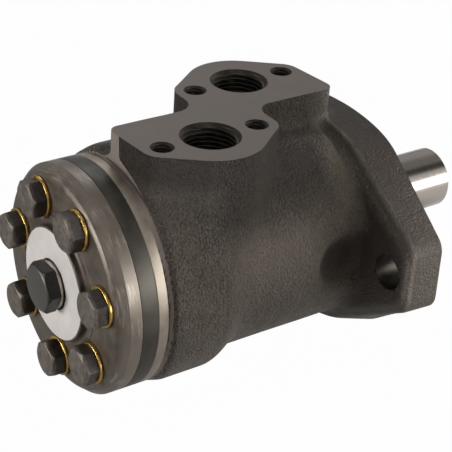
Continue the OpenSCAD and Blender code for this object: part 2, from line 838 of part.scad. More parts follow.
module cover_screws() color([0.42, 0.39, 0.36]) {
    for (k = [0 : screw_count - 1])
        at_angle(first_lobe + k * lobe_step, screw_pcd_r)
            rotate([screw_turns[k], 0, 0]) {
                hex_head(screw_af, screw_head_x - screw_head_h, screw_head_x);
                rod(screw_d / 2, screw_head_x - eps, plate_x + screw_bite);
            }
}

module screw_washers() color([0.72, 0.58, 0.25]) {
    at_screws()
        ring(screw_d / 2 + screw_gap, screw_washer_d / 2, screw_head_x, cover_face_x);
}

module drain_plug() color([0.2, 0.19, 0.18]) {
    rotate([plug_turn, 0, 0])
        hex_head(plug_af, plug_head_x - plug_head_h, plug_head_x);
    rod(plug_d / 2, plug_head_x - eps, plug_head_x + plug_len);
}

module plug_washer() color([0.75, 0.73, 0.68]) {
    ring(plug_d / 2 + seat_gap, plug_washer_d / 2, plug_head_x, boss_x);
}

module label_disc() color([0.82, 0.79, 0.77]) {
    ring(label_hole_r, label_r, boss_x - label_t, boss_x);
}

module housing_seal() color([0.08, 0.08, 0.08]) {
    body_seal(plate_x, 1);
}

module plate_seal() color([0.08, 0.08, 0.08]) {
    body_seal(ring_x, 1);
}

module cover_seal() color([0.08, 0.08, 0.08]) {
    body_seal(cover_x, -1);
}

// Lip seal: a U section open towards the pressure side
module shaft_seal() color([0.12, 0.1, 0.1]) {
    lip_r = shaft_d / 2 + nose_gap;
    out_r = seal_d / 2;
    turned([[lip_r + 0.6, seal_x], [lip_r, seal_x + 1.2], [lip_r + 0.3, seal_x + seal_t],
        [out_r, seal_x + seal_t], [out_r, seal_x], [out_r - 1.4, seal_x], [out_r - 2, seal_x + 3],
        [lip_r + 2, seal_x + 3], [lip_r + 1.6, seal_x]]);
}

module backup_ring() color([0.85, 0.83, 0.75]) {
    ring(shaft_d / 2 + nose_gap, seal_d / 2, backup_x, backup_x + backup_t);
}

// Dust seal: a case with an outward wiping lip
module dust_seal() color([0.1, 0.1, 0.1]) {
    lip_r = shaft_d / 2 + nose_gap;
    out_r = dust_seal_d / 2;
    x1 = dust_seal_x + dust_seal_t;
    turned([[lip_r + 1.5, dust_seal_x], [out_r, dust_seal_x], [out_r, x1], [out_r - 2, x1],
        [lip_r + 4, dust_seal_x + 2.2], [lip_r + 1.6, x1], [lip_r, x1 - 0.6],
        [lip_r + 0.5, dust_seal_x + 2]]);
}

module front_race() color([0.7, 0.7, 0.7]) {
    ring(shaft_d / 2 + 4 * seat_gap, spool_d / 2 - seat_gap, race_front_x, race_front_x + race_t);
}

module rear_race() color([0.7, 0.7, 0.7]) {
    ring(shaft_d / 2 + seat_gap, spool_d / 2 - 4 * seat_gap, race_rear_x, race_rear_x + race_t);
}

// Repeats children for each needle, with the needle lying along the radius
module at_needles() {
    for (k = [0 : needle_count - 1])
        rotate([k * 360 / needle_count, 0, 0])
            translate([needle_x, needle_mid_r - needle_len / 2, 0])
                rotate([-90, 0, 0])
                    children();
}

module needle_cage() color([0.6, 0.5, 0.3]) {
    difference() {
        ring(shaft_d / 2 + 4 * seat_gap, spool_d / 2 - 4 * seat_gap, needle_x - cage_t / 2, needle_x + cage_t / 2);
        at_needles()
            translate([-needle_d, -needle_d / 2 - seat_gap, -seat_gap])
                cube([2 * needle_d, needle_d + 2 * seat_gap, needle_len + 2 * seat_gap]);
    }
}

module bearing_needles() color([0.75, 0.75, 0.75]) {
    at_needles()
        cylinder(d = needle_d - thread_gap, h = needle_len, $fn = 24);
}

module check_ball(a) {
    at_angle(a, ball_pcd_r)
        translate([ball_x - thread_gap, 0, 0])
            sphere(ball_r, $fn = 32);
}

module check_ball_1() color([0.75, 0.75, 0.75]) {
    check_ball(ball_angles[1]);
}

module check_ball_2() color([0.75, 0.75, 0.75]) {
    check_ball(ball_angles[0]);
}

housing();
distributor_plate();
gerotor_ring();
gerotor_star();
drive_spacer();
cardan_shaft();
output_shaft();
shaft_key();
end_cover();
cover_screws();
screw_washers();
drain_plug();
plug_washer();
label_disc();
housing_seal();
plate_seal();
cover_seal();
shaft_seal();
backup_ring();
dust_seal();
front_race();
rear_race();
needle_cage();
bearing_needles();
check_ball_1();
check_ball_2();
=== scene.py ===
# %% [markdown]
# # An orbital hydraulic motor
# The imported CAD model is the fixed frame: every piece here rides on one of its bodies. The real
# motor is a dark iron casting with machined faces, a stack of steel discs and a turned cover held
# by seven screws. Where the CAD solid already has the right form it only gets a finish. Where the
# real piece has soft cast corners, threads or eased edges, a finer mesh takes its place.

import math

import bmesh
import bpy
import numpy as np
from mathutils import Matrix, Vector


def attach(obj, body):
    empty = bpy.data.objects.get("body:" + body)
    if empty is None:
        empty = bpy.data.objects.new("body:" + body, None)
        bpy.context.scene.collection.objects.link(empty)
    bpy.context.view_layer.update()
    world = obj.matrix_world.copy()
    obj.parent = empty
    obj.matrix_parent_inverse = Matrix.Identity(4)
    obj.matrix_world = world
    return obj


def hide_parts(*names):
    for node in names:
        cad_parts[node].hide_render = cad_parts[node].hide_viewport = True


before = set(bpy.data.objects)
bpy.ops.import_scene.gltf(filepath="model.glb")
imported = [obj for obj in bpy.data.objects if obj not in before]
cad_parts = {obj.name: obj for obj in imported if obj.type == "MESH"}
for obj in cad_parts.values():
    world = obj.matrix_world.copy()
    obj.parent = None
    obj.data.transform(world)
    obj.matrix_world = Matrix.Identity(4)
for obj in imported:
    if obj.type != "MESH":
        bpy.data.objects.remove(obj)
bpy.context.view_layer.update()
MM = 0.001

# %% [markdown]
# ## Sizes
# The part's source holds the real sizes. The few that the finer meshes need are repeated here, in
# millimetres: X runs along the shaft, Z points to the port face, and the mounting face is x = 0.

# %% Sizes of the motor
HOUSING_END = -106.5
RING_X = -110.5
COVER_X = -117.0
COVER_FACE = -126.0
BOSS_FACE = -128.8
BODY_R = 43.7
REGISTER_X = -104.5
PORT_FACE = 55.3
PORTS = [(-75.5, -17.85), (-39.1, 17.85)]
PORT_R = 10.4775
STUD_OFFSET = 20.0
STUD_R = 4.0
SCREW_ANGLES = 270 + np.arange(7) * 360 / 7
SCREW_CIRCLE = 32.0
SCREW_HOLE_R = 4.3
PASSAGE_CIRCLE = 24.6
EAR_HOLE_Y, EAR_HOLE_R = 53.2, 6.75
PILOT_R, PILOT_H = 41.25, 2.8
SPOOL_R, GROOVE_R = 19.03, 22.0
PORT_DEPTH, STUD_DEPTH = 15.0, 13.0
LOBE_CIRCLE, LOBE_R, ECCENTRICITY = 30.0, 8.5, 3.4
WELL_OUTSIDE = 90
SHARP = 32

# %% [markdown]
# ## Camera
# A long lens looks down on the motor from behind its cover. Its matrix is built from three
# directions: right, up and back, turned a little about the line of sight.

# %% Camera
def camera_matrix(place, azimuth, elevation, roll):
    """Columns are right, up and back. Forward is (cos e sin a, cos e cos a, -sin e)."""
    a, e, t = (math.radians(v) for v in (azimuth, elevation, roll))
    forward = Vector((math.cos(e) * math.sin(a), math.cos(e) * math.cos(a), -math.sin(e)))
    level = Vector((math.cos(a), -math.sin(a), 0))
    upright = level.cross(forward)
    right = math.cos(t) * level + math.sin(t) * upright
    up = math.cos(t) * upright - math.sin(t) * level
    matrix = Matrix((right, up, -forward)).transposed().to_4x4()
    matrix.translation = place
    return matrix


CAMERA_PLACE = Vector((-322.0, -375.3, 263.8)) * MM
AZIMUTH, ELEVATION, ROLL = 35.57, 29.40, 3.56
lens = bpy.data.cameras.new("camera")
lens.sensor_width = 36
lens.lens = 108.55
lens.clip_start = 0.01
camera = bpy.data.objects.new("camera", lens)
camera.matrix_world = camera_matrix(CAMERA_PLACE, AZIMUTH, ELEVATION, ROLL)
bpy.context.scene.collection.objects.link(camera)
bpy.context.scene.camera = camera
bpy.context.scene.view_settings.view_transform = "Standard"
print("camera distance in mm:", round(camera.location.length / MM))

# %% [markdown]
# ## Making a mesh
# Shapes are worked out as whole arrays of points. These helpers number the faces of a grid, join
# several shapes into one and hand the result to a body of the frame.

# %% Mesh helpers
def grid_faces(rows, columns, wrap_rows=False):
    """Quads of a grid whose columns close on themselves: (i, j), (i, j+1), (i+1, j+1), (i+1, j)."""
    bands = rows if wrap_rows else rows - 1
    i, j = np.meshgrid(np.arange(bands), np.arange(columns), indexing="ij")
    i2, j2 = (i + 1) % rows, (j + 1) % columns
    return np.stack([i * columns + j, i * columns + j2, i2 * columns + j2, i2 * columns + j],
                    -1).reshape(-1, 4)


def joined(parts):
    """One (points, faces) pair from several: each part's faces count on from the points before."""
    points, faces, start = [], [], 0
    for part_points, part_faces in parts:
        points.append(part_points)
        faces.append(part_faces + start)
        start += len(part_points)
    return np.concatenate(points), np.concatenate(faces)


def mesh_object(name, shape, sharp=SHARP):
    """Object from points in millimetres and quads, with doubles merged and normals outwards."""
    points, faces = shape
    mesh = bpy.data.meshes.new(name)
    mesh.from_pydata((points * MM).tolist(), [], faces.tolist())
    work = bmesh.new()
    work.from_mesh(mesh)
    bmesh.ops.remove_doubles(work, verts=work.verts, dist=2e-7)
    bmesh.ops.recalc_face_normals(work, faces=work.faces)
    work.to_mesh(mesh)
    work.free()
    mesh.polygons.foreach_set("use_smooth", np.ones(len(mesh.polygons), bool))
    mesh.set_sharp_from_angle(angle=math.radians(sharp))
    made = bpy.data.objects.new(name, mesh)
    bpy.context.scene.collection.objects.link(made)
    return made


def fit(piece, body, slot, materials, *nodes):
    """Gives a piece its materials, puts it on its body and hides the CAD nodes that it stands for;
    slot is not used.
    """
    piece.data.materials.clear()
    for material in materials:
        piece.data.materials.append(material)
    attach(piece, body)
    if nodes:
        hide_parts(*nodes)
    print(piece.name, "has", len(piece.data.polygons), "faces")


# %% [markdown]
# ## Turned pieces
# Cover, discs, washers and cutters are all turned: a profile is carried round an axis. Real turned
# corners are never quite sharp, so the profile's corners are eased with small arcs first.

# %% Turning
def eased(profile, radius, bends=4):
    """Rounds each corner of a closed profile: an arc of the radius, or less on a short edge."""
    points = np.asarray(profile, float)
    befores, afters = np.roll(points, 1, 0), np.roll(points, -1, 0)
    radii = np.broadcast_to(radius, len(points))
    rounded = []
    for before, corner, after, r in zip(befores, points, afters, radii):
        to_a, to_b = before - corner, after - corner
        len_a, len_b = np.linalg.norm(to_a), np.linalg.norm(to_b)
        to_a, to_b = to_a / len_a, to_b / len_b
        half = math.acos(float(np.clip(to_a @ to_b, -1, 1))) / 2
        reach = min(r / max(math.tan(half), 1e-6), 0.45 * len_a, 0.45 * len_b)
        if r == 0 or half > math.radians(87) or corner[0] < 1e-6:
            rounded.append(corner)
            continue
        start, end = corner + reach * to_a, corner + reach * to_b
        centre = corner + (to_a + to_b) / np.linalg.norm(to_a + to_b) * reach / math.cos(half)
        arc_r = np.linalg.norm(start - centre)
        for t in np.linspace(0, 1, bends):
            way = (1 - t) * (start - centre) + t * (end - centre)
            rounded.append(centre + way / np.linalg.norm(way) * arc_r)
    return np.array(rounded)


def turned(profile, steps=160, axis="x", centre=(0, 0)):
    """Carries (radius, height) points round an axis: across = centre + radius (cos t, sin t)."""
    radius, height = np.asarray(profile, float).T
    t = np.arange(steps) * 2 * np.pi / steps
    first = centre[0] + np.outer(radius, np.cos(t))
    second = centre[1] + np.outer(radius, np.sin(t))
    along = np.repeat(height[:, None], steps, 1)
    order = (along, first, second) if axis == "x" else (first, second, along)
    return np.stack(order, -1).reshape(-1, 3), grid_faces(len(radius), steps, wrap_rows=True)


def rod(radius, low, high, steps=64, axis="x", centre=(0, 0)):
    """A plain turned rod from low to high along the axis."""
    return turned([[0, low], [radius, low], [radius, high], [0, high]], steps, axis, centre)


def on_circle(angles, radius):
    """Places (y, z) at the given angles from +Y towards +Z."""
    t = np.radians(angles)
    return np.stack([radius * np.cos(t), radius * np.sin(t)], -1)


SCREW_PLACES = on_circle(SCREW_ANGLES, SCREW_CIRCLE)
PASSAGES = on_circle(SCREW_ANGLES + 180 / 7, PASSAGE_CIRCLE)

# %% [markdown]
# ## Materials
# A material is a short recipe: a few textures on Object coordinates drive colour, roughness and
# bump. The helper below writes one node per line, so that each recipe reads from top to bottom.

# %% Recipe helper
def srgb(red, green, blue):
    """A display colour from 0 to 255 as the linear colour that the shader wants."""
    c = np.array([red, green, blue]) / 255
    linear = np.where(c <= 0.04045, c / 12.92, ((c + 0.055) / 1.055) ** 2.4)
    return (*linear.tolist(), 1.0)


def put(tree, value, socket):
    """Links another node's output to an input, or writes a plain value into it."""
    if isinstance(value, bpy.types.NodeSocket):
        tree.links.new(value, socket)
    else:
        socket.default_value = value


def chain(tree, operation, *values):
    """Joins numbers or sockets by one operation, from left to right, or applies it to just one."""
    total, *rest = values
    for value in rest or [0.0]:
        node = tree.nodes.new("ShaderNodeMath")
        node.operation = operation
        put(tree, total, node.inputs[0])
        put(tree, value, node.inputs[1])
        total = node.outputs[0]
    return total


class Recipe:
    """Builds one material's node tree, step by step."""

    def __init__(self, name, metallic, roughness, specular):
        self.material = bpy.data.materials.new(name)
        self.material.use_nodes = True
        self.tree = self.material.node_tree
        self.shader = self.tree.nodes["Principled BSDF"]
        self.shader.inputs["Metallic"].default_value = metallic
        self.shader.inputs["Roughness"].default_value = roughness
        self.shader.inputs["Specular IOR Level"].default_value = specular
        self.place = self.step("ShaderNodeTexCoord").outputs["Object"]

    def step(self, kind, inputs=(), **settings):
        """Adds a node; inputs are (name or number, value or socket) pairs."""
        node = self.tree.nodes.new(kind)
        for key, value in settings.items():
            setattr(node, key, value)
        for key, value in dict(inputs).items():
            put(self.tree, value, node.inputs[key])
        return node

    def math(self, operation, *values):
        """One arithmetic operation on numbers or sockets."""
        return chain(self.tree, operation, *values)

    def noise(self, grain_mm, detail, roughness):
        """Noise whose grains are about that many millimetres wide, from 0 to 1."""
        return self.noise_at(self.place, 1 / (grain_mm * MM), detail, roughness)

    def noise_at(self, vector, scale, detail, roughness):
        """Noise that is read at any vector of coordinates."""
        return self.step("ShaderNodeTexNoise", {
            "Vector": vector, "Scale": scale, "Detail": detail,
            "Roughness": roughness}).outputs["Fac"]

    def spread(self, value, low, high, out_low=0.0, out_high=1.0):
        """Stretches a number from low..high to out_low..out_high, held at both ends."""
        return self.step("ShaderNodeMapRange", {
            "Value": value, "From Min": low, "From Max": high,
            "To Min": out_low, "To Max": out_high}).outputs["Result"]

    def fade(self, coordinate, low_mm, high_mm, out_low=0.0, out_high=1.0):
        """The same for a coordinate, with both ends in millimetres."""
        return self.spread(coordinate, low_mm * MM, high_mm * MM, out_low, out_high)

    def blend(self, share, first, second):
        """Mixes two colours: share 0 gives the first, 1 the second."""
        node = self.step("ShaderNodeMix", data_type="RGBA")
        for key, value in (("Factor_Float", share), ("A_Color", first), ("B_Color", second)):
            put(self.tree, value, next(s for s in node.inputs if s.identifier == key))
        return next(s for s in node.outputs if s.identifier == "Result_Color")

    def axis_parts(self):
        """(x, distance from the shaft axis, angle round it) of the point, from its coordinates."""
        parts = self.step("ShaderNodeSeparateXYZ", {0: self.place}).outputs
        radius = self.length(parts["Y"], parts["Z"])
        return parts["X"], radius, self.math("ARCTAN2", parts["Z"], parts["Y"])

    def length(self, a, b):
        """Square root of a squared plus b squared."""
        return self.math("SQRT", self.math("ADD", *(self.math("MULTIPLY", v, v) for v in (a, b))))

    def turning_marks(self, width_mm, along_x):
        """Fine rings that a lathe leaves: noise that changes with the radius, or with x."""
        x, radius, angle = self.axis_parts()
        across = self.math("MULTIPLY", x if along_x else radius, 1 / (width_mm * MM))
        slow = self.math("MULTIPLY", self.math("SINE", angle), 0.6)
        vector = self.step("ShaderNodeCombineXYZ", {"X": across, "Y": slow}).outputs[0]
        return self.noise_at(vector, 1.0, 3.0, 0.6)

    def bump(self, height, depth_mm, strength=1.0):
        """Raises the surface by the height times the depth."""
        return self.step("ShaderNodeBump", {
            "Height": height, "Distance": depth_mm * MM, "Strength": strength}).outputs["Normal"]

    def finish(self, **sockets):
        """Joins the named shader sockets: Base_Color, Roughness, Normal."""
        for key, value in sockets.items():
            put(self.tree, value, self.shader.inputs[key.replace("_", " ")])
        return self.material


# %% [markdown]
# ## Cast iron
# The casting is sand cast and phosphated: a warm dark grey with a sandy grain of about a millimetre
# and soft lumps a few millimetres wide. The grain is mostly a bump, which catches the light, and
# only partly a colour. Painted shade darkens the casting under and round the pads and in the bolt
# pockets. A painted highlight lightens a band along the middle of the barrel's sides, and the
# flange's edge is lightened as wear and as a painted highlight. It is the same on both sides.

# %% Cast iron
SLOT_X, SLOT_R = -26.0, 10.0
FLANGE_EDGE, FLANGE_BACK = -12.5, -16.0


def cast_iron():
    """Sandy grains and pits on a patchy base, calmer on the flange, then painted shade and light by
    place.
    """
    r = Recipe("cast_iron", metallic=0.0, roughness=0.4, specular=0.42)
    place = r.step("ShaderNodeSeparateXYZ", {0: r.place}).outputs
    x, y, z = place["X"], place["Y"], place["Z"]
    out = r.math("ABSOLUTE", y)
    sand, fine = r.noise(0.95, 3.0, 0.62), r.noise(0.45, 1.0, 0.5)
    lumps, patches = r.noise(3.4, 2.0, 0.5), r.noise(16.0, 2.0, 0.5)
    calm = r.fade(x, -22, -14, 1.0, 0.25)
    grains = r.math("MULTIPLY", r.spread(sand, 0.5, 0.66, 0.0, 0.35), calm)
    pits = r.math("MULTIPLY", r.spread(sand, 0.5, 0.34, 0.0, 0.45), calm)
    # Painted highlight: a lighter band along the middle of the barrel's sides.
    barrel_side_highlight = r.math("MULTIPLY", r.fade(z, 14, 24, 1.0, 0.0), r.fade(z, -4, 8),
                   r.fade(x, -80, -62), r.fade(x, -42, -30, 0.35, 0.0))
    flange = r.fade(x, -20, -12, 0.0, 0.35)
    # The flange's edge: lighter as wear and as a painted highlight along its ridge.
    off_edge = r.math("ABSOLUTE", r.math("SUBTRACT", x, FLANGE_EDGE * MM))
    edge = r.math("MULTIPLY", r.fade(off_edge, 0.3, 1.2, 0.6, 0.0),
                  r.spread(patches, 0.3, 0.5, 0.3, 1.0))
    # Painted shade: darker under and round the pads, and on the pads' walls.
    shade_under_pads = r.math("MULTIPLY", r.fade(z, 18, 31, 0.0, 0.72), r.fade(out, 10, 18),
                        r.fade(x, -86, -80), r.fade(x, -30, -24, 1.0, 0.0))
    shade_round_pads = r.fade(z, 40, 46, 0.0, 0.72)
    # Painted shade: darker in the bolt pockets.
    off_slot = r.length(r.math("SUBTRACT", x, SLOT_X * MM), z)
    pocket = r.math("MULTIPLY", r.fade(off_slot, 5, 10.5, 0.85, 0.0), r.fade(out, 33, 36))
    tone = r.blend(r.spread(patches, 0.35, 0.65), srgb(94, 84, 73), srgb(107, 97, 85))
    for share, colour in ((grains, (138, 127, 117)), (pits, (40, 35, 28)), (barrel_side_highlight, (158, 146, 136)),
                          (flange, (70, 63, 55)), (edge, (150, 139, 127)),
                          (r.math("MAXIMUM", shade_under_pads, shade_round_pads), (36, 31, 25)),
                          (pocket, (24, 21, 16))):
        tone = r.blend(share, tone, srgb(*colour))
    height = r.math("ADD", sand, r.math("MULTIPLY", lumps, 0.6), r.math("MULTIPLY", fine, 0.25))
    return r.finish(Base_Color=tone, Roughness=r.spread(lumps, 0.3, 0.7, 0.3, 0.46),
                    Normal=r.bump(r.math("MULTIPLY", height, calm), 2.8))


def milled_iron():
    """The port and end faces: milled flat, then phosphated to an even satin grey."""
    r = Recipe("milled_iron", metallic=0.0, roughness=0.5, specular=0.4)
    fine = r.noise(0.3, 3.0, 0.6)
    patches = r.noise(9.0, 2.0, 0.5)
    tone = r.blend(r.spread(patches, 0.35, 0.65), srgb(134, 122, 114), srgb(144, 132, 124))
    tone = r.blend(r.spread(fine, 0.4, 0.75, 0.0, 0.3), tone, srgb(154, 142, 134))
    return r.finish(Base_Color=tone, Roughness=r.spread(patches, 0.3, 0.7, 0.45, 0.56),
                    Normal=r.bump(fine, 0.012, 0.5))


def cut_steel(name, dark, light, roughness):
    """Metal straight from a drill or tap: fine streaks and small stains."""
    r = Recipe(name, metallic=0.55, roughness=roughness, specular=0.5)
    stain = r.noise(5.0, 3.0, 0.6)
    fine = r.noise(0.35, 2.0, 0.6)
    return r.finish(Base_Color=r.blend(r.spread(stain, 0.35, 0.65), dark, light),
                    Roughness=r.spread(stain, 0.3, 0.7, roughness - 0.06, roughness + 0.08),
                    Normal=r.bump(fine, 0.01, 0.4))


CAST = cast_iron()
MILLED = milled_iron()
TAPPED = cut_steel("tapped_iron", srgb(36, 31, 26), srgb(66, 59, 49), 0.36)

# %% [markdown]
# ## The casting as a field
# The housing's soft corners can't be had by beveling: barrel, collar, saddle, pads and flange melt
# into one another. So the raw casting is a field: a function that says how far a point lies from
# the surface, below zero inside. Two forms join with a round fillet where both are near. The field
# is sampled on a grid, quads are laid where it crosses zero, and each point is then pulled exactly
# onto the surface. The machined faces and holes are cut afterwards, so they stay crisp.

# %% Distances
def belt_distance(u, v, discs):
    """Distance from the outline of a belt pulled round discs (u, v, r): along an arc it is the
    distance to the disc's centre less r, and along a straight run the distance to its line."""
    discs = np.asarray(discs, float)
    turn = 2 * np.pi
    t = np.arange(7200) * turn / 7200
    reach = discs[:, 0, None] * np.cos(t) + discs[:, 1, None] * np.sin(t) + discs[:, 2, None]
    owner = np.argmax(reach, 0)
    turns = np.flatnonzero(owner != np.roll(owner, 1))
    distance = np.full(np.broadcast(u, v).shape, -1e9)
    for k, start in enumerate(turns):
        disc, end = discs[owner[start]], turns[(k + 1) % len(turns)]
        du, dv = u - disc[0], v - disc[1]
        run = du * math.cos(t[start]) + dv * math.sin(t[start]) - disc[2]
        distance = np.maximum(distance, run)
        if disc[2] > 0:
            within = (np.arctan2(dv, du) - t[start]) % turn <= (t[end] - t[start]) % turn
            distance = np.maximum(distance, np.where(within, np.hypot(du, dv) - disc[2], -1e9))
    return distance


def joined_round(a, b, radius):
    """Union of two fields with a fillet: radius less the length of (radius - a, radius - b)."""
    fillet = np.hypot(np.maximum(radius - a, 0), np.maximum(radius - b, 0))
    return np.maximum(radius, np.minimum(a, b)) - fillet


def common_round(a, b, radius):
    """What two fields share, with its outer edge rounded to the radius."""
    return -joined_round(-a, -b, radius)


def ramp(x, start, end):
    """Runs smoothly from 0 at start to 1 at end."""
    t = np.clip((x - start) / (end - start), 0, 1)
    return t * t * (3 - 2 * t)


# %% The raw casting
# The flange's outline at its front, its edge and its back: middle radius, and each ear's corners.
FLANGE = [(49.9, 57.0, 9.2), (45.3, 56.2, 9.2), (40.0, 54.2, 5.0)]
EAR_CORNER_R = 7.5
# A pad is a belt round six discs, seen from its port; the other port's pad is turned half round.
PAD = [(0, 0, 20), (20, 0, 8), (-20, 0, 8), (-25.2, 18.15, 4.2), (18.2, 22.35, 0), (28, 17.85, 0)]
SADDLE = [(9.8, 29.6, 13.8), (-9.8, 29.6, 13.8), (26, 0, 0), (-26, 0, 0)]
SADDLE_START, SADDLE_END = -103.5, -19.5
POCKET_Y = 35.2


def flange_outline(y, z, middle_r, ear_y, ear_z):
    """Belt round the middle disc and the two corners of each ear."""
    corners = [(side * ear_y, end * ear_z, EAR_CORNER_R) for side in (-1, 1) for end in (-1, 1)]
    return belt_distance(y, z, [(0, 0, middle_r)] + corners)


def casting(x, y, z):
    """Distance from the raw casting's surface, in millimetres, below zero inside."""
    off_axis = np.hypot(y, z)
    collar_r = 40.5 + 4.7 * ramp(x, -69.5, -82.5)
    barrel = common_round(off_axis - collar_r, -108.0 - x, 1.0)

    both_pads = [belt_distance((x - port_x) * way, (y - port_y) * way, PAD)
                 for (port_x, port_y), way in zip(PORTS, (1, -1))]
    pads = np.maximum(joined_round(*both_pads, 7.5), 2.0 - z)

    saddle = common_round(belt_distance(y, z, SADDLE), SADDLE_START - x, 4.0)
    saddle = common_round(saddle, x - SADDLE_END, 3.0)

    front, rim, back = (flange_outline(y, z, *sizes) for sizes in FLANGE)
    lean_way = x / FLANGE_EDGE
    bevel_way = np.clip((FLANGE_EDGE - x) / (FLANGE_EDGE - FLANGE_BACK), -2.0, 1.5)
    flange = common_round(front + lean_way * (rim - front), np.abs(z) - 46.0, 9.0)
    flange = common_round(flange, (rim + bevel_way * (back - rim)) / 1.6, 0.8)
    flange = common_round(flange, FLANGE_BACK - x, 1.0)

    slot_end = np.hypot(x - SLOT_X, z) - SLOT_R
    slot = np.where(x > SLOT_X, np.abs(z) - SLOT_R, slot_end)
    pocket = common_round(slot, POCKET_Y - np.abs(y), 4.0)
    pocket = np.maximum(pocket, x + 13.0)

    slope_run = 1.2 + 4.3 * ramp(y, 14, -2) * ramp(y, -44, -22)
    slope = ((off_axis - BODY_R) * slope_run - (x + 104.6) * 1.5) / np.hypot(slope_run, 1.5)
    body = joined_round(barrel, saddle, 5.0)
    body = common_round(body, slope, 0.5)
    body = common_round(body, -pocket, 4.0)
    body = joined_round(body, flange, 2.4)
    body = joined_round(body, pads, 4.0)
    body = np.maximum(body, x - 4.5)
    swell = np.sin(x / 7.3 + np.sin(y / 9.1)) * np.sin(z / 6.1 + np.sin(x / 8.7))
    return body + 0.12 * (1 + swell * np.sin(y / 6.9 + 1))


# %% From field to mesh
def surface_net(field, step, corner):
    """Quads along the zero surface of a sampled field: one point in each cell that it crosses, at
    the mean of its crossings of the cell's edges, and one quad round each grid edge it crosses."""
    inside = field < 0
    cells = np.array(field.shape) - 1
    corners = [(i, j, k) for i in (0, 1) for j in (0, 1) for k in (0, 1)]

    def shifted(grid, c):
        return grid[c[0]:c[0] + cells[0], c[1]:c[1] + cells[1], c[2]:c[2] + cells[2]]

    filled = sum(shifted(inside, c).astype(np.int8) for c in corners)
    active = (filled > 0) & (filled < 8)
    number = np.full(cells, -1)
    number[active] = np.arange(active.sum())
    base = np.argwhere(active)
    total, hits = np.zeros((len(base), 3)), np.zeros(len(base))
    for c in corners:
        for axis in range(3):
            if c[axis]:
                continue
            far = tuple(1 if k == axis else c[k] for k in range(3))
            near_f, far_f = shifted(field, c)[active], shifted(field, far)[active]
            crossed = (near_f < 0) != (far_f < 0)
            point = np.tile(np.array(c, float), (len(base), 1))
            point[:, axis] = near_f / np.where(crossed, near_f - far_f, 1)
            total += point * crossed[:, None]
            hits += crossed
    points = np.array(corner) + step * (base + total / hits[:, None])
    quads = []
    for axis in range(3):
        u, v = (axis + 1) % 3, (axis + 2) % 3
        low = np.take(inside, np.arange(cells[axis]), axis)
        edge = np.argwhere(low != np.take(inside, np.arange(1, cells[axis] + 1), axis))

        def cell(du, dv, edge=edge, u=u, v=v):
            place = edge.copy()
            place[:, u] -= du
            place[:, v] -= dv
            return number[tuple(place.T)]

        quad = np.stack([cell(1, 1), cell(0, 1), cell(0, 0), cell(1, 0)], 1)
        outwards = ~low[tuple(edge.T)]
        quad[outwards] = quad[outwards][:, ::-1]
        quads.append(quad)
    return points, np.concatenate(quads)


def pulled_on(points, field, rounds=4, nudge=0.05):
    """Moves each point along the field's slope until the field is zero there."""
    for _ in range(rounds):
        value = field(*points.T)
        slope = np.stack([field(*(points + nudge * e).T) - field(*(points - nudge * e).T)
                          for e in np.eye(3)], -1) / (2 * nudge)
        steepness = np.maximum((slope ** 2).sum(1), 0.25)
        points = points - slope * np.clip(value / steepness, -0.5, 0.5)[:, None]
    return points


STEP = 1.0
low_corner, high_corner = np.array([-111.0, -68.0, -51.0]), np.array([8.0, 68.0, 60.5])
axes = [np.arange(low_corner[k], high_corner[k] + STEP, STEP) for k in range(3)]
sampled = casting(axes[0][:, None, None], axes[1][None, :, None], axes[2][None, None, :])
sampled[[0, -1]] = sampled[:, [0, -1]] = 1.0
sampled[:, :, [0, -1]] = 1.0
net_points, net_faces = surface_net(sampled, STEP, low_corner)
net_points = pulled_on(net_points, casting)
housing = mesh_object("housing_casting", (net_points, net_faces))
print("raw casting:", len(net_points), "points,", len(net_faces), "quads")

# %% [markdown]
# ## Machining the casting
# The real casting is milled, bored, drilled and tapped. Here each tool is a turned or boxed cutter,
# and the solver takes its volume away, which leaves the same crisp edges as a real tool does.

# %% Cutting tools
def box_tool(low, high):
    """A box between two corners."""
    pick = np.array([[i, j, k] for i in (0, 1) for j in (0, 1) for k in (0, 1)])
    points = np.where(pick == 0, np.array(low, float), np.array(high, float))
    return points, np.array([[0, 1, 3, 2], [4, 6, 7, 5], [0, 4, 5, 1],
                             [2, 3, 7, 6], [0, 2, 6, 4], [1, 5, 7, 3]])


def machine(piece, shape, operation="DIFFERENCE"):
    """Cuts a shape out of a piece, or keeps only what they share."""
    tool = mesh_object("tool", shape)
    step = piece.modifiers.new("cut", "BOOLEAN")
    step.operation = operation
    step.solver = "MANIFOLD"
    step.object = tool
    bpy.context.view_layer.update()
    seen = piece.evaluated_get(bpy.context.evaluated_depsgraph_get())
    cut = bpy.data.meshes.new_from_object(seen)
    piece.modifiers.clear()
    old, piece.data = piece.data, cut
    before = len(old.polygons)
    bpy.data.meshes.remove(old)
    bpy.data.objects.remove(tool)
    print("cut:", before, "to", len(cut.polygons), "faces")


def drill(piece, radius, low, high, places, steps=40):
    """Straight holes along X at the places."""
    machine(piece, joined([rod(radius, low, high, steps, centre=place) for place in places]))


def aslant(shape, foot, head):
    """Turns a shape made along Z so that it runs from the foot towards the head."""
    points, faces = shape
    turn = Vector((0, 0, 1)).rotation_difference(Vector(head) - Vector(foot)).to_matrix()
    return points @ np.array(turn).T + np.array(foot), faces


# %% Faces and outside diameters
machine(housing, box_tool((HOUSING_END, -80, -80), (PILOT_H, 80, PORT_FACE)), "INTERSECT")
machine(housing, turned([[PILOT_R, 0], [PILOT_R, 2.3], [40.2, 3.35], [WELL_OUTSIDE, 3.35],
                         [WELL_OUTSIDE, 0]]))
machine(housing, turned([[BODY_R - 0.4, HOUSING_END - 1], [BODY_R - 0.4, HOUSING_END - 0.1],
                         [BODY_R, HOUSING_END + 0.3], [BODY_R, REGISTER_X],
                         [WELL_OUTSIDE, REGISTER_X], [WELL_OUTSIDE, HOUSING_END - 1]]))

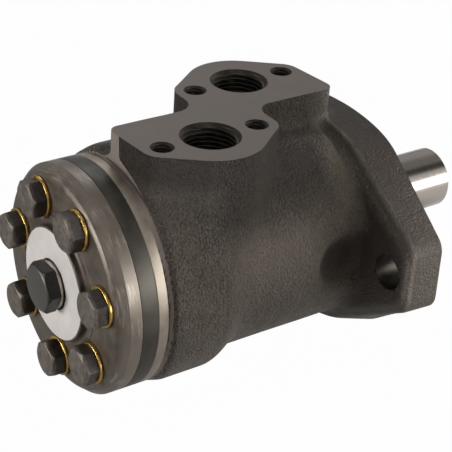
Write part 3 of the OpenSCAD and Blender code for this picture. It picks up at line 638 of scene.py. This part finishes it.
# %% Ports, tapped holes and the bore
CHAMFER = 0.75
port_profile = [[0, PORT_FACE - PORT_DEPTH], [PORT_R, PORT_FACE - PORT_DEPTH],
                [PORT_R, PORT_FACE - CHAMFER], [PORT_R + CHAMFER + 1, PORT_FACE + 1],
                [0, PORT_FACE + 1]]
stud_profile = [[0, PORT_FACE - STUD_DEPTH - 2.2], [STUD_R - 0.7, PORT_FACE - STUD_DEPTH],
                [STUD_R, PORT_FACE - STUD_DEPTH], [STUD_R, PORT_FACE - 0.4],
                [STUD_R + 1.4, PORT_FACE + 1], [0, PORT_FACE + 1]]
stud_places = [(port[0] + side * STUD_OFFSET, port[1]) for port in PORTS for side in (-1, 1)]
port_tools = [turned(port_profile, 96, "z", port) for port in PORTS]
stud_tools = [turned(stud_profile, 48, "z", place) for place in stud_places]
machine(housing, joined(port_tools + stud_tools))
bore = [[0, -108], [SPOOL_R, -108], [SPOOL_R, -79], [GROOVE_R, -79], [GROOVE_R, -72],
        [SPOOL_R, -72], [SPOOL_R, -42.6], [GROOVE_R, -42.6], [GROOVE_R, -35.6],
        [SPOOL_R, -35.6], [SPOOL_R, -14.1], [12.6, -14.1], [12.6, -9.1], [18.5, -9.1],
        [18.5, -1.7], [21, -1.7], [21, 3.6], [0, 3.6]]
machine(housing, turned(bore, 128))
for (port_x, port_y), side in zip(PORTS, (-1, 1)):
    foot = np.array([port_x, side * 9.0, 17.0])
    head = np.array([port_x, port_y, PORT_FACE - PORT_DEPTH])
    length = np.linalg.norm(head - foot)
    machine(housing, aslant(rod(4.0, 0.0, length + 0.6, 48, "z"), foot, head))

# %% Mounting holes, screw holes and passages
ear_profile = [[0, -20], [EAR_HOLE_R, -20], [EAR_HOLE_R, -0.5], [EAR_HOLE_R + 1.5, 1.0], [0, 1.0]]
machine(housing, joined([turned(ear_profile, 64, centre=(side * EAR_HOLE_Y, 0))
                         for side in (-1, 1)]))
drill(housing, 4.02, -108, -88.5, SCREW_PLACES)
drill(housing, 2.5, -108, -57.3, PASSAGES, 32)

# %% Finishes of the casting
def finish_casting(piece):
    """Machined and drilled faces are told by their place; all the rest stays cast."""
    mesh = piece.data
    count = len(mesh.polygons)
    centre = np.zeros(count * 3)
    mesh.polygons.foreach_get("center", centre)
    centre = centre.reshape(-1, 3) / MM
    x, y, z = centre.T
    r = np.hypot(y, z)
    flat = (z > PORT_FACE - 0.01) | (x < HOUSING_END + 0.35) | (x > -0.01)
    band = (x < REGISTER_X + 0.01) & (r > BODY_R - 1)
    holes = [np.hypot(x - px, y - py) < PORT_R + 1.2 for px, py in PORTS]
    holes += [np.hypot(x - px, y - py) < STUD_R + 0.6 for px, py in stud_places]
    ear_holes = np.hypot(np.abs(y) - EAR_HOLE_Y, z) < EAR_HOLE_R + 0.25
    drilled = (np.any(holes, 0) & (z > 30) | (r < GROOVE_R + 0.2) | ear_holes) & ~flat
    machined = flat | band
    mesh.polygons.foreach_set("material_index", np.where(drilled, 2, machined).astype(np.int32))
    mesh.polygons.foreach_set("use_smooth", np.ones(count, bool))
    mesh.set_sharp_from_angle(angle=math.radians(SHARP))
    print("machined faces:", int(machined.sum()), "drilled:", int(drilled.sum()), "of", count)


fit(housing, "motor_body", "cast_housing", [CAST, MILLED, TAPPED], "housing")
finish_casting(housing)

# %% [markdown]
# ## Threads
# Both ports carry a pipe thread and the four small holes a metric one. A thread is a sleeve inside
# the drilled hole whose inner radius follows a zigzag: the zigzag climbs one pitch for each turn,
# so the ridge is one long helix. The CAD hole lies at the thread's outer radius.

# %% Threads
def thread_sleeve(hole_r, depth, pitch, ridge, place, top, steps, per_pitch):
    """Sleeve with radius hole_r - ridge * zigzag(height / pitch - angle / turn), run out at the top
    over one pitch; the outer wall is a plain cylinder a hair outside the hole's wall."""
    rows = int(depth / pitch * per_pitch)
    height = np.linspace(top - depth, top, rows)[:, None]
    t = np.arange(steps)[None, :] * 2 * np.pi / steps
    phase = (height / pitch - t / (2 * np.pi)) % 1.0
    zigzag = np.clip(1.35 * (1 - np.abs(2 * phase - 1)) - 0.15, 0, 1)
    run_out = np.clip((top - height) / (0.6 * pitch), 0, 1)
    inner = hole_r - ridge * zigzag * run_out - 0.02
    outer = np.full_like(inner, hole_r + 0.04)
    radius = np.concatenate([inner, outer[::-1]])
    along = np.concatenate([height, height[::-1]]) + 0 * t
    points = np.stack([place[0] + radius * np.cos(t), place[1] + radius * np.sin(t), along], -1)
    return points.reshape(-1, 3), grid_faces(len(radius), steps, wrap_rows=True)


for name, places, sizes in (
        ("port_threads", PORTS, dict(hole_r=PORT_R, depth=13.8, pitch=1.814, ridge=1.16,
                                     top=PORT_FACE - CHAMFER, steps=120, per_pitch=10)),
        ("stud_threads", stud_places, dict(hole_r=STUD_R, depth=12.2, pitch=1.25, ridge=0.62,
                                           top=PORT_FACE - 0.4, steps=48, per_pitch=9))):
    sleeves = [thread_sleeve(place=place, **sizes) for place in places]
    threads = mesh_object(name, joined(sleeves), 60)
    fit(threads, "motor_body", "cast_housing", [TAPPED])

# %% [markdown]
# ## The stack of discs
# Behind the housing come the bright distributor plate, the dark gear ring and the cover. Their
# rims are eased a few tenths, which draws the fine dark joints between them.

# %% Disc finishes
def turned_steel(name, dark, light, roughness, marks_mm, metallic, along_x, shoulder_streaks=0.0):
    """Turned steel: lathe rings in colour and bump, stains, and a scratched, rubbed rim with
    painted highlight.
    """
    r = Recipe(name, metallic=metallic, roughness=roughness, specular=0.5)
    marks = r.turning_marks(marks_mm, along_x)
    stain = r.noise(7.0, 3.0, 0.6)
    tone = r.blend(r.spread(stain, 0.32, 0.68), dark, light)
    tone = r.blend(r.spread(marks, 0.3, 0.75, 0.0, 0.3), tone, light)
    if shoulder_streaks:
        x, radius, angle = r.axis_parts()
        # The shoulder's light streaks are scratches and partly a painted highlight.
        streak = r.noise_at(r.step("ShaderNodeCombineXYZ", {
            "X": r.math("MULTIPLY", angle, 6.0), "Y": r.math("MULTIPLY", radius, 1200.0),
            "Z": r.math("MULTIPLY", x, 1200.0)}).outputs[0], 1.0, 4.0, 0.65)
        scratch_highlight_spots = r.math("MULTIPLY", r.spread(r.noise(11.0, 1.0, 0.5), 0.46, 0.6),
                       r.fade(radius, 39.5, 41.2, 0.2, 1.0))
        scratches_and_highlight = r.math("MULTIPLY", r.spread(streak, 0.46, 0.7, 0.0, shoulder_streaks), scratch_highlight_spots)
        tone = r.blend(scratches_and_highlight, tone, srgb(190, 181, 170))
        # A lighter rim band: partly rubbing, partly a painted highlight.
        tone = r.blend(r.fade(radius, 40.8, 42.8, 0.0, 0.45), tone, srgb(150, 140, 129))
    return r.finish(Base_Color=tone, Normal=r.bump(marks, 0.015, 0.5),
                    Roughness=r.spread(stain, 0.3, 0.7, roughness - 0.07, roughness + 0.08))


PLATE = turned_steel("ground_plate", srgb(142, 131, 118), srgb(165, 154, 140), 0.42, 0.25, 0.6,
                     True)
RING = turned_steel("dark_ring", srgb(62, 59, 52), srgb(78, 74, 66), 0.42, 0.3, 0.6, True)
COVER = turned_steel("turned_cover", srgb(86, 77, 68), srgb(112, 102, 91), 0.4, 0.35, 0.5, False,
                     shoulder_streaks=0.8)


def annulus(inner, outer, low, high, ease=0.25):
    """Closed profile of a disc with a hole, all four corners eased."""
    return eased([[inner, low], [outer, low], [outer, high], [inner, high]], ease)


# %% Plate, ring and cover
plate = mesh_object("plate_disc", turned(annulus(16.6, BODY_R, RING_X, HOUSING_END, 0.3), 200))
drill(plate, SCREW_HOLE_R, RING_X - 1, HOUSING_END + 1, SCREW_PLACES)
drill(plate, 3.0, RING_X - 1, HOUSING_END + 1, PASSAGES, 32)
fit(plate, "motor_body", "bright_steel", [PLATE], "distributor_plate")

# The ring's hole is a circle past the star's far reach, with the seven lobes standing in it.
ring_gap = LOBE_CIRCLE - LOBE_R + 2 * ECCENTRICITY + 0.4
ring = mesh_object("gear_ring", turned(annulus(20.0, BODY_R, COVER_X, RING_X, 0.2), 200))
gap_t = np.linspace(0, 2 * np.pi, 700, endpoint=False)
lobe_t = np.radians(SCREW_ANGLES)
off = np.angle(np.exp(1j * (gap_t[:, None] - lobe_t[None, :])))
beside = LOBE_CIRCLE * np.abs(np.sin(off))
lobe_face = LOBE_CIRCLE * np.cos(off) - np.sqrt(np.maximum(LOBE_R ** 2 - beside ** 2, 0))
met = (beside < LOBE_R) & (np.abs(off) < 1)
gap_r = np.minimum(np.where(met, lobe_face, ring_gap).min(1), ring_gap)
hole = np.stack([gap_r * np.cos(gap_t), gap_r * np.sin(gap_t)], -1)
layers = [np.column_stack([np.full(len(hole), x), hole * share])
          for x, share in ((COVER_X - 1, 0), (COVER_X - 1, 1), (RING_X + 1, 1), (RING_X + 1, 0))]
machine(ring, (np.concatenate(layers), grid_faces(4, len(hole))))
drill(ring, SCREW_HOLE_R, COVER_X - 1, RING_X + 1, SCREW_PLACES)
fit(ring, "motor_body", "dark_steel", [RING], "gerotor_ring")

cover_profile = [[0, BOSS_FACE], [21.8, BOSS_FACE], [22.0, COVER_FACE - 0.9],
                 [22.6, COVER_FACE - 0.3], [25.4, COVER_FACE - 0.3], [25.6, COVER_FACE],
                 [39.2, COVER_FACE], [40.9, COVER_FACE + 0.7], [BODY_R, COVER_X - 4.9],
                 [BODY_R, COVER_X], [0, COVER_X]]
cover_ease = [0, 0.35, 0.5, 0.4, 0.12, 0.1, 2.5, 2.0, 0.6, 0.25, 0]
cover = mesh_object("cover_disc", turned(eased(cover_profile, cover_ease, 6), 220))
drill(cover, SCREW_HOLE_R, BOSS_FACE - 1, COVER_X + 1, SCREW_PLACES)
spot_face = [[5.0, COVER_FACE], [8.0, COVER_FACE], [8.1, COVER_FACE - 0.4], [8.1, BOSS_FACE - 1],
             [5.0, BOSS_FACE - 1]]
machine(cover, joined([turned(spot_face, 72, centre=place) for place in SCREW_PLACES]))
machine(cover, turned([[0, BOSS_FACE - 1], [6.6, BOSS_FACE - 1], [6.6, BOSS_FACE + 9],
                       [4.6, BOSS_FACE + 9], [4.6, COVER_X + 1], [0, COVER_X + 1]], 64))
fit(cover, "motor_body", "cover_steel", [COVER], "end_cover")

# %% [markdown]
# ## Screws, plug and washers
# A screw head is a hexagonal bar met by a turned cone. In polar form the radius is the smaller of
# the two: the hexagon's half width divided by the cosine of the angle from the nearest flat, and
# the cone's radius at that height. The hexagon's edges are worn, so its radius is a smooth blend.

# %% Hexagons
def hex_head(across_flats, low, high, turn, shank_r, shank_end, centre=(0, 0), steps=120):
    """Head along X with its free face at low. Worn hexagon: half width / (sum of cos^wear)^(1/wear)
    over the six flats; the cone leaves a flat circle a little inside the flats at the free face."""
    wear, inset, last = 140, 0.35, 1.8
    half = across_flats / 2
    rise = half / math.cos(math.radians(30)) - half
    t = np.radians(turn) + np.arange(steps) * 2 * np.pi / steps
    flats = np.radians(turn + 30 + 60 * np.arange(6))
    facing = np.maximum(np.cos(t[:, None] - flats[None, :]), 0)
    hexagon = half / (facing ** wear).sum(1) ** (1 / wear)
    depth = np.array([0.06, 0.2, 0.4, 0.6, 0.8, 1.0, 1.25, 1.5, last])
    cone = half - inset + depth / last * (rise + 0.9)
    cone_high = 0.585 * (rise + inset) / math.tan(math.radians(30))
    rows = [np.zeros(steps), np.minimum(hexagon, half - inset - 0.12)]
    rows += [np.minimum(hexagon, c) for c in cone] + [hexagon, hexagon - 0.15]
    xs = [low, low, *(low + depth / last * cone_high), high - 0.15, high]
    rows += [np.full(steps, shank_r), np.full(steps, shank_r), np.zeros(steps)]
    xs += [high, shank_end, shank_end]
    radius, x = np.array(rows), np.repeat(np.array(xs)[:, None], steps, 1)
    points = np.stack([x, centre[0] + radius * np.cos(t), centre[1] + radius * np.sin(t)], -1)
    return points.reshape(-1, 3), grid_faces(len(rows), steps)


HEAD_TURNS = [28.0, 18.0, 22.0, 44.0, 53.0, 28.0, 54.0]
SCREW_FLATS, WASHER_T, HEAD_H = 13.0, 1.4, 5.3
head_x = COVER_FACE - WASHER_T
screws = mesh_object("hex_screws", joined([
    hex_head(SCREW_FLATS, head_x - HEAD_H, head_x, turn, 4.0, HOUSING_END + 15, place)
    for turn, place in zip(HEAD_TURNS, SCREW_PLACES)]), 28)


def forged_steel():
    """Phosphated screw heads: grey-brown, pitted, rubbed light in patches, with darker flats."""
    r = Recipe("forged_screws", metallic=0.3, roughness=0.45, specular=0.5)
    blotch = r.noise(2.2, 3.0, 0.65)
    pits = r.noise(0.6, 2.0, 0.6)
    tone = r.blend(r.spread(blotch, 0.35, 0.68), srgb(84, 76, 69), srgb(126, 115, 105))
    tone = r.blend(r.spread(pits, 0.36, 0.28, 0.0, 0.7), tone, srgb(48, 42, 37))
    tone = r.blend(r.fade(r.axis_parts()[0], -131.6, -131.0, 0.0, 0.65), tone, srgb(34, 29, 25))
    return r.finish(Base_Color=tone, Roughness=r.spread(blotch, 0.3, 0.7, 0.36, 0.55),
                    Normal=r.bump(r.math("ADD", pits, blotch), 0.1, 0.5))


def yellow_metal():
    """Soft brass washers, squeezed and a little tarnished."""
    r = Recipe("brass_washers", metallic=1.0, roughness=0.28, specular=0.5)
    tarnish = r.noise(2.0, 3.0, 0.6)
    tone = r.blend(r.spread(tarnish, 0.35, 0.65), srgb(178, 140, 72), srgb(212, 178, 108))
    return r.finish(Base_Color=tone, Roughness=r.spread(tarnish, 0.3, 0.7, 0.2, 0.36))


def black_steel():
    """The plug is oil-blacked: nearly black with a satin sheen, greyer where it was milled."""
    r = Recipe("black_plug", metallic=0.4, roughness=0.36, specular=0.5)
    fine = r.noise(0.8, 3.0, 0.6)
    tone = r.blend(r.spread(fine, 0.35, 0.7), srgb(26, 25, 23), srgb(38, 36, 33))
    tone = r.blend(r.fade(r.axis_parts()[0], -135.3, -134.9, 1.0, 0.0), tone, srgb(86, 82, 77))
    return r.finish(Base_Color=tone, Normal=r.bump(fine, 0.02, 0.4))


SCREW, BRASS, BLACK = forged_steel(), yellow_metal(), black_steel()
fit(screws, "motor_body", "screw_steel", [SCREW], "cover_screws")
washers = mesh_object("crush_washers", joined([
    turned(annulus(SCREW_HOLE_R, 7.8, head_x, COVER_FACE, 0.5), 72, centre=place)
    for place in SCREW_PLACES]))
fit(washers, "motor_body", "brass_washer", [BRASS], "screw_washers")

PLUG_FLATS, PLUG_TURN = 17.0, 58.6
PLUG_WASHER_T, PLUG_HEAD_H = 1.5, 5.2
plug_x = BOSS_FACE - PLUG_WASHER_T
plug = mesh_object("hex_plug", hex_head(PLUG_FLATS, plug_x - PLUG_HEAD_H, plug_x, PLUG_TURN, 6.5,
                                        plug_x + 7.5, steps=180), 28)
fit(plug, "motor_body", "dark_steel", [BLACK], "drain_plug")
SOFT_METAL = turned_steel("soft_washer", srgb(176, 170, 158), srgb(206, 200, 190), 0.34, 0.3, 0.8,
                          False)
plug_washer = mesh_object("sealing_washer", turned(annulus(6.63, 9.0, plug_x, BOSS_FACE, 0.4), 96))
fit(plug_washer, "motor_body", "soft_metal", [SOFT_METAL], "plug_washer")

# %% [markdown]
# ## Label disc
# A satin foil disc lies on the cover's boss. It stays blank: a clean off-white with a faint tone.

# %% Label disc
def satin_foil():
    """Off-white foil with faint clouds and a fine ripple."""
    r = Recipe("satin_foil", metallic=0.1, roughness=0.42, specular=0.5)
    clouds = r.spread(r.noise(9.0, 2.0, 0.5), 0.35, 0.65)
    tone = r.blend(clouds, srgb(236, 229, 222), srgb(246, 240, 234))
    return r.finish(Base_Color=tone, Normal=r.bump(r.noise(1.5, 2.0, 0.5), 0.01, 0.3))


FOIL = satin_foil()
label = mesh_object("label_foil", turned(annulus(9.8, 21.2, BOSS_FACE - 0.2, BOSS_FACE, 0.08), 160))
fit(label, "motor_body", "blank_label", [FOIL], "label_disc")

# %% [markdown]
# ## Shaft and hidden pieces
# The shaft is ground and polished, so it mirrors the studio in long streaks with fine turning
# marks. The gears, bearing and seals sit inside and keep their CAD form with a fitting finish.

# %% Finishes of the CAD nodes
def polished_steel(name, dark, light, roughness):
    """Ground steel: very fine rings in tone, roughness and bump."""
    r = Recipe(name, metallic=1.0, roughness=roughness, specular=0.5)
    marks = r.turning_marks(0.12, along_x=True)
    return r.finish(Base_Color=r.blend(r.spread(marks, 0.3, 0.7), dark, light),
                    Roughness=r.spread(marks, 0.3, 0.7, roughness - 0.04, roughness + 0.06),
                    Normal=r.bump(marks, 0.006, 0.4))


def plain_solid(name, dark, light, roughness, grain_mm, depth_mm, metallic=0.0):
    """Rubber, plastic or stamped sheet: a fine even grain in tone and bump."""
    r = Recipe(name, metallic=metallic, roughness=roughness, specular=0.4)
    grain = r.noise(grain_mm, 2.0, 0.6)
    return r.finish(Base_Color=r.blend(r.spread(grain, 0.3, 0.7), dark, light),
                    Normal=r.bump(grain, depth_mm, 0.5))


SHAFT = polished_steel("polished_shaft", srgb(166, 157, 149), srgb(184, 176, 168), 0.19)
BEARING = polished_steel("bearing_steel", srgb(190, 188, 184), srgb(214, 212, 208), 0.16)
GEAR = turned_steel("gear_steel", srgb(128, 122, 114), srgb(160, 152, 142), 0.32, 0.2, 0.9, False)
RUBBER = plain_solid("black_rubber", srgb(24, 23, 22), srgb(34, 33, 32), 0.6, 0.4, 0.02)
PLASTIC = plain_solid("seal_plastic", srgb(206, 200, 182), srgb(222, 217, 200), 0.45, 0.8, 0.01)
CAGE = plain_solid("stamped_brass", srgb(160, 128, 70), srgb(188, 152, 86), 0.4, 0.6, 0.01, 0.9)
FINISHES = [
    (SHAFT, ["output_shaft"]),
    (GEAR, ["shaft_key", "gerotor_star", "drive_spacer", "cardan_shaft"]),
    (RUBBER, ["housing_seal", "plate_seal", "cover_seal", "shaft_seal", "dust_seal"]),
    (PLASTIC, ["backup_ring"]),
    (CAGE, ["needle_cage"]),
    (BEARING, ["front_race", "rear_race", "bearing_needles", "check_ball_1", "check_ball_2"])]
for finish, nodes in FINISHES:
    for node in nodes:
        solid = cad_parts[node]
        solid.data.materials.clear()
        solid.data.materials.append(finish)

# %% [markdown]
# ## Studio
# A pale floor lies in a white surround. Camera rays see both as plain white. Mirror-like
# surfaces see them with darker bands, as black card beside a set would draw them in the steel.
# The light comes from four soft lamps: a long low one on the right, one facing the cover, and weak
# ones above and behind.

# %% What the camera and the mirrors see
def curve(tree, value, low, high, stops):
    """Brightness along a coordinate: the stops are (share of the way from low to high, value)."""
    way = tree.nodes.new("ShaderNodeMapRange")
    way.inputs["From Min"].default_value, way.inputs["From Max"].default_value = low, high
    tree.links.new(value, way.inputs["Value"])
    scale = tree.nodes.new("ShaderNodeValToRGB")
    marks = scale.color_ramp.elements
    while len(marks) < len(stops):
        marks.new(0.5)
    for mark, (place, level) in zip(marks, stops):
        mark.position = place
        mark.color = (level, level, level, 1)
    tree.links.new(way.outputs["Result"], scale.inputs[0])
    return scale.outputs[0]


def seen_share(tree, in_mirrors):
    """1 for camera rays, and the given brightness for glossy and transmitted rays."""
    path = tree.nodes.new("ShaderNodeLightPath").outputs
    mirrors = chain(tree, "MAXIMUM", path["Is Glossy Ray"], path["Is Transmission Ray"])
    shown = chain(tree, "MULTIPLY", mirrors, in_mirrors)
    return chain(tree, "MAXIMUM", path["Is Camera Ray"], shown)


def coordinates(tree, kind):
    """The X, Y and Z sockets of a texture coordinate."""
    parts = tree.nodes.new("ShaderNodeSeparateXYZ")
    tree.links.new(tree.nodes.new("ShaderNodeTexCoord").outputs[kind], parts.inputs[0])
    return parts.outputs


def mixed_shader(tree, share, first, second, target):
    """Sends a mix of two shaders to the output: share 0 gives the first, 1 the second."""
    mixed = tree.nodes.new("ShaderNodeMixShader")
    for socket, source in zip(mixed.inputs, (share, first.outputs[0], second.outputs[0])):
        tree.links.new(source, socket)
    tree.links.new(mixed.outputs[0], target.inputs[0])


# %% World
world = bpy.data.worlds.new("studio")
bpy.context.scene.world = world
world.use_nodes = True
tree = world.node_tree
tree.nodes.clear()
dim, white = (tree.nodes.new("ShaderNodeBackground") for _ in range(2))
dim.inputs["Color"].default_value = (1.0, 0.98, 0.96, 1)
dim.inputs["Strength"].default_value = 0.04
white.inputs["Color"].default_value = (1, 1, 1, 1)
parts = coordinates(tree, "Generated")
sideways = curve(tree, parts["Y"], -1, 1, [
    (0.0, 0.75), (0.26, 0.75), (0.29, 0.04), (0.41, 0.04), (0.46, 0.75), (0.65, 0.6), (0.8, 0.42),
    (1.0, 0.3)])
behind_camera = curve(tree, parts["X"], -1, 1, [(0.0, 0.6), (0.3, 0.6), (0.4, 0.0), (1.0, 0.0)])
upwards = curve(tree, parts["Z"], -0.05, 0.95, [
    (0.0, 0.35), (0.13, 0.35), (0.17, 1.0), (0.62, 1.0), (0.78, 0.3), (1.0, 0.3)])
surround = chain(tree, "MULTIPLY", chain(tree, "MAXIMUM", sideways, behind_camera), upwards)
mixed_shader(tree, seen_share(tree, surround), dim, white, tree.nodes.new("ShaderNodeOutputWorld"))

# %% Floor
FLOOR_Z, FLOOR_REACH = -46.3, 3000
corners = [[sx * FLOOR_REACH, sy * FLOOR_REACH, FLOOR_Z]
           for sx, sy in ((-1, -1), (1, -1), (1, 1), (-1, 1))]
floor = mesh_object("floor", (np.array(corners, float), np.array([[0, 1, 2, 3]])))
floor_look = bpy.data.materials.new("floor")
floor_look.use_nodes = True
tree = floor_look.node_tree
matt = tree.nodes["Principled BSDF"]
matt.inputs["Base Color"].default_value = (0.4, 0.4, 0.4, 1)
matt.inputs["Roughness"].default_value = 0.9
parts = coordinates(tree, "Object")
near_side = curve(tree, parts["Y"], -0.4, 0.4, [(0.0, 0.5), (0.4, 0.28), (0.75, 0.08), (1.0, 0.05)])
past_shaft = curve(tree, parts["X"], 0.0, 0.2, [(0.0, 0.0), (0.22, 0.0), (0.45, 0.8), (1.0, 0.8)])
glow_share = seen_share(tree, chain(tree, "MAXIMUM", near_side, past_shaft))
mixed_shader(tree, chain(tree, "MULTIPLY", glow_share, 0.985), matt,
             tree.nodes.new("ShaderNodeEmission"), tree.nodes["Material Output"])
floor.data.materials.append(floor_look)

# %% Lamps
LAMP_DISTANCE = 1.3
MIDDLE = Vector((-0.05, 0, 0))


def soft_lamp(name, towards, size, watts):
    """An area lamp that looks at the middle of the motor from a direction."""
    light = bpy.data.lights.new(name, "AREA")
    light.shape = "RECTANGLE"
    light.size, light.size_y = size
    light.energy = watts
    lamp = bpy.data.objects.new(name, light)
    way = Vector(towards).normalized()
    lamp.location = MIDDLE + way * LAMP_DISTANCE
    lamp.rotation_euler = way.to_track_quat("Z", "Y").to_euler()
    bpy.context.scene.collection.objects.link(lamp)


soft_lamp("lamp_right", (0.6, -0.78, 0.13), (1.8, 0.55), 20.0)
soft_lamp("lamp_back", (0.3, 0.75, 0.7), (0.6, 0.6), 2.0)
soft_lamp("lamp_top", (0.0, -0.12, 1.0), (0.5, 0.5), 1.5)
soft_lamp("lamp_left", (-1.0, 0.3, 0.0), (0.5, 0.5), 16.5)
